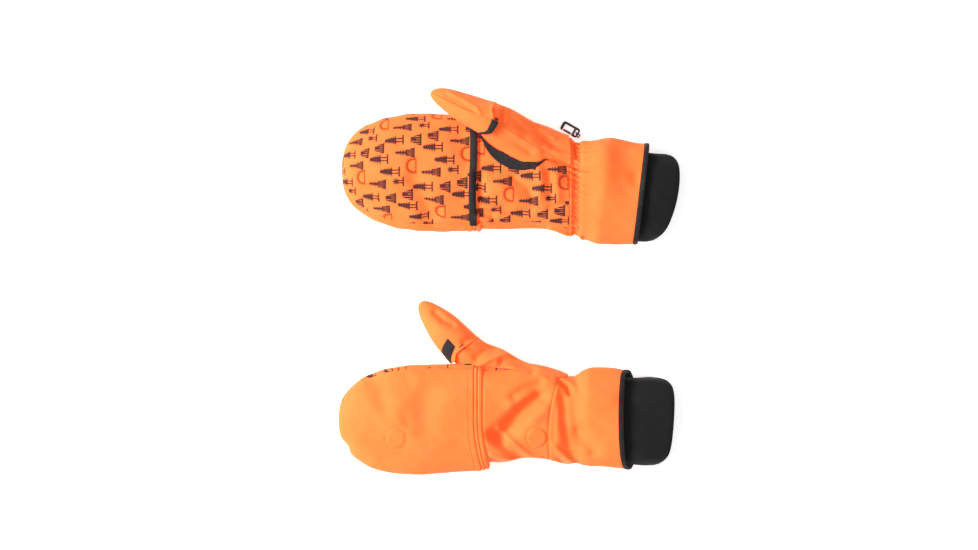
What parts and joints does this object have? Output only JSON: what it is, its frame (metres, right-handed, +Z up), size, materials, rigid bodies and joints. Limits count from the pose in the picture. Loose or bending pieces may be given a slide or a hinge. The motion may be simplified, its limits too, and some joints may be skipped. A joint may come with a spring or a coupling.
{
  "type": "pair of flip-top mittens",
  "caption": "Pair of fleece mittens, one palm up and one palm down, with hoods and thumb caps that flip off the fingers, a shirred wrist, a gauntlet and a knit storm cuff.",
  "frame": {"origin": "middle of the pair's footprint, on the surface they lie on", "axes": "+X from the finger tips towards the cuffs, +Y from the left mitten to the right one, +Z up"},
  "size_m": [0.3187, 0.3561, 0.0571],
  "materials": {
    "orange_fleece": "brushed orange fleece",
    "printed_fleece": "brushed orange fleece with a dark print of trees and suns",
    "orange_lining": "smooth inner fleece",
    "black_binding": "woven binding tape",
    "black_knit": "fine ribbed knit",
    "elastic": "woven elastic",
    "black_cord": "braided cord",
    "magnet": "plated magnet",
    "black_plastic": "moulded plastic",
    "grey_plastic": "moulded plastic"
  },
  "bodies": {
    "left_mitten": {"left_hood_seam_strip": "orange_fleece", "left_back_panel": "orange_fleece", "left_palm_panel": "printed_fleece", "left_thumb_crescent": "black_binding", "left_hand_lining": "orange_lining", "left_hand_magnet": "magnet", "left_hand_magnet_pocket": "orange_lining", "left_index_stall": "orange_lining", "left_middle_stall": "orange_lining", "left_ring_stall": "orange_lining", "left_little_stall": "orange_lining", "left_thumb_outer_shell": "orange_fleece", "left_thumb_inner_panel": "orange_fleece", "left_thumb_lining": "orange_lining", "left_wrist_elastic": "elastic", "left_gauntlet": "orange_fleece", "left_hem_binding": "black_binding", "left_knit_cuff": "black_knit"},
    "left_hood": {"left_hood_back_panel": "orange_fleece", "left_hood_palm_panel": "printed_fleece", "left_hood_binding": "black_binding", "left_hood_lining": "orange_lining", "left_hood_magnet": "magnet", "left_hood_magnet_pocket": "orange_lining"},
    "left_thumb_cap": {"left_thumb_cap_back": "orange_fleece", "left_thumb_cap_front": "orange_fleece", "left_thumb_cap_binding": "black_binding"},
    "right_mitten": {"right_hood_seam_strip": "orange_fleece", "right_back_panel": "orange_fleece", "right_palm_panel": "printed_fleece", "right_thumb_crescent": "black_binding", "right_hand_lining": "orange_lining", "right_hand_magnet": "magnet", "right_hand_magnet_pocket": "orange_lining", "right_index_stall": "orange_lining", "right_middle_stall": "orange_lining", "right_ring_stall": "orange_lining", "right_little_stall": "orange_lining", "right_thumb_outer_shell": "orange_fleece", "right_thumb_inner_panel": "orange_fleece", "right_thumb_lining": "orange_lining", "right_wrist_elastic": "elastic", "right_gauntlet": "orange_fleece", "right_hem_binding": "black_binding", "right_knit_cuff": "black_knit", "right_clip_loop": "black_cord"},
    "right_hood": {"right_hood_back_panel": "orange_fleece", "right_hood_palm_panel": "printed_fleece", "right_hood_binding": "black_binding", "right_hood_lining": "orange_lining", "right_hood_magnet": "magnet", "right_hood_magnet_pocket": "orange_lining"},
    "right_thumb_cap": {"right_thumb_cap_back": "orange_fleece", "right_thumb_cap_front": "orange_fleece", "right_thumb_cap_binding": "black_binding"},
    "clip": {"right_clip_body": "black_plastic"},
    "clip_gate": {"right_clip_gate": "grey_plastic"}
  },
  "joints": [
    {"name": "right_mitten_lift", "type": "slide", "parent": "left_mitten", "child": "right_mitten", "axis": [0, 0, 1], "range_m": [0, 0.15]},
    {"name": "left_hood_flip", "type": "hinge", "parent": "left_mitten", "child": "left_hood", "pos_m": [-0.0414, -0.1275, 0.0363], "axis": [0, 1, 0], "range_deg": [0, 178]},
    {"name": "right_hood_flip", "type": "hinge", "parent": "right_mitten", "child": "right_hood", "pos_m": [-0.0414, 0.1007, -0.0005], "axis": [0, -1, 0], "range_deg": [0, 178]},
    {"name": "left_thumb_cap_flip", "type": "hinge", "parent": "left_mitten", "child": "left_thumb_cap", "pos_m": [-0.03381, -0.05121, 0.0148], "axis": [0, 0, -1], "range_deg": [0, 110]},
    {"name": "right_thumb_cap_flip", "type": "hinge", "parent": "right_mitten", "child": "right_thumb_cap", "pos_m": [-0.01558, 0.16558, 0.0425], "axis": [0, 0, -1], "range_deg": [0, 155]},
    {"name": "clip_swing", "type": "hinge", "parent": "right_mitten", "child": "clip", "pos_m": [0.05994, 0.13719, 0.003], "axis": [0, 0, 1], "range_deg": [-20, 20]},
    {"name": "clip_gate_open", "type": "hinge", "parent": "clip", "child": "clip_gate", "pos_m": [0.05431, 0.13661, 0.003], "axis": [0, 0, -1], "range_deg": [0, 20], "stiffness_Nm_per_rad": 0.002}
  ]
}
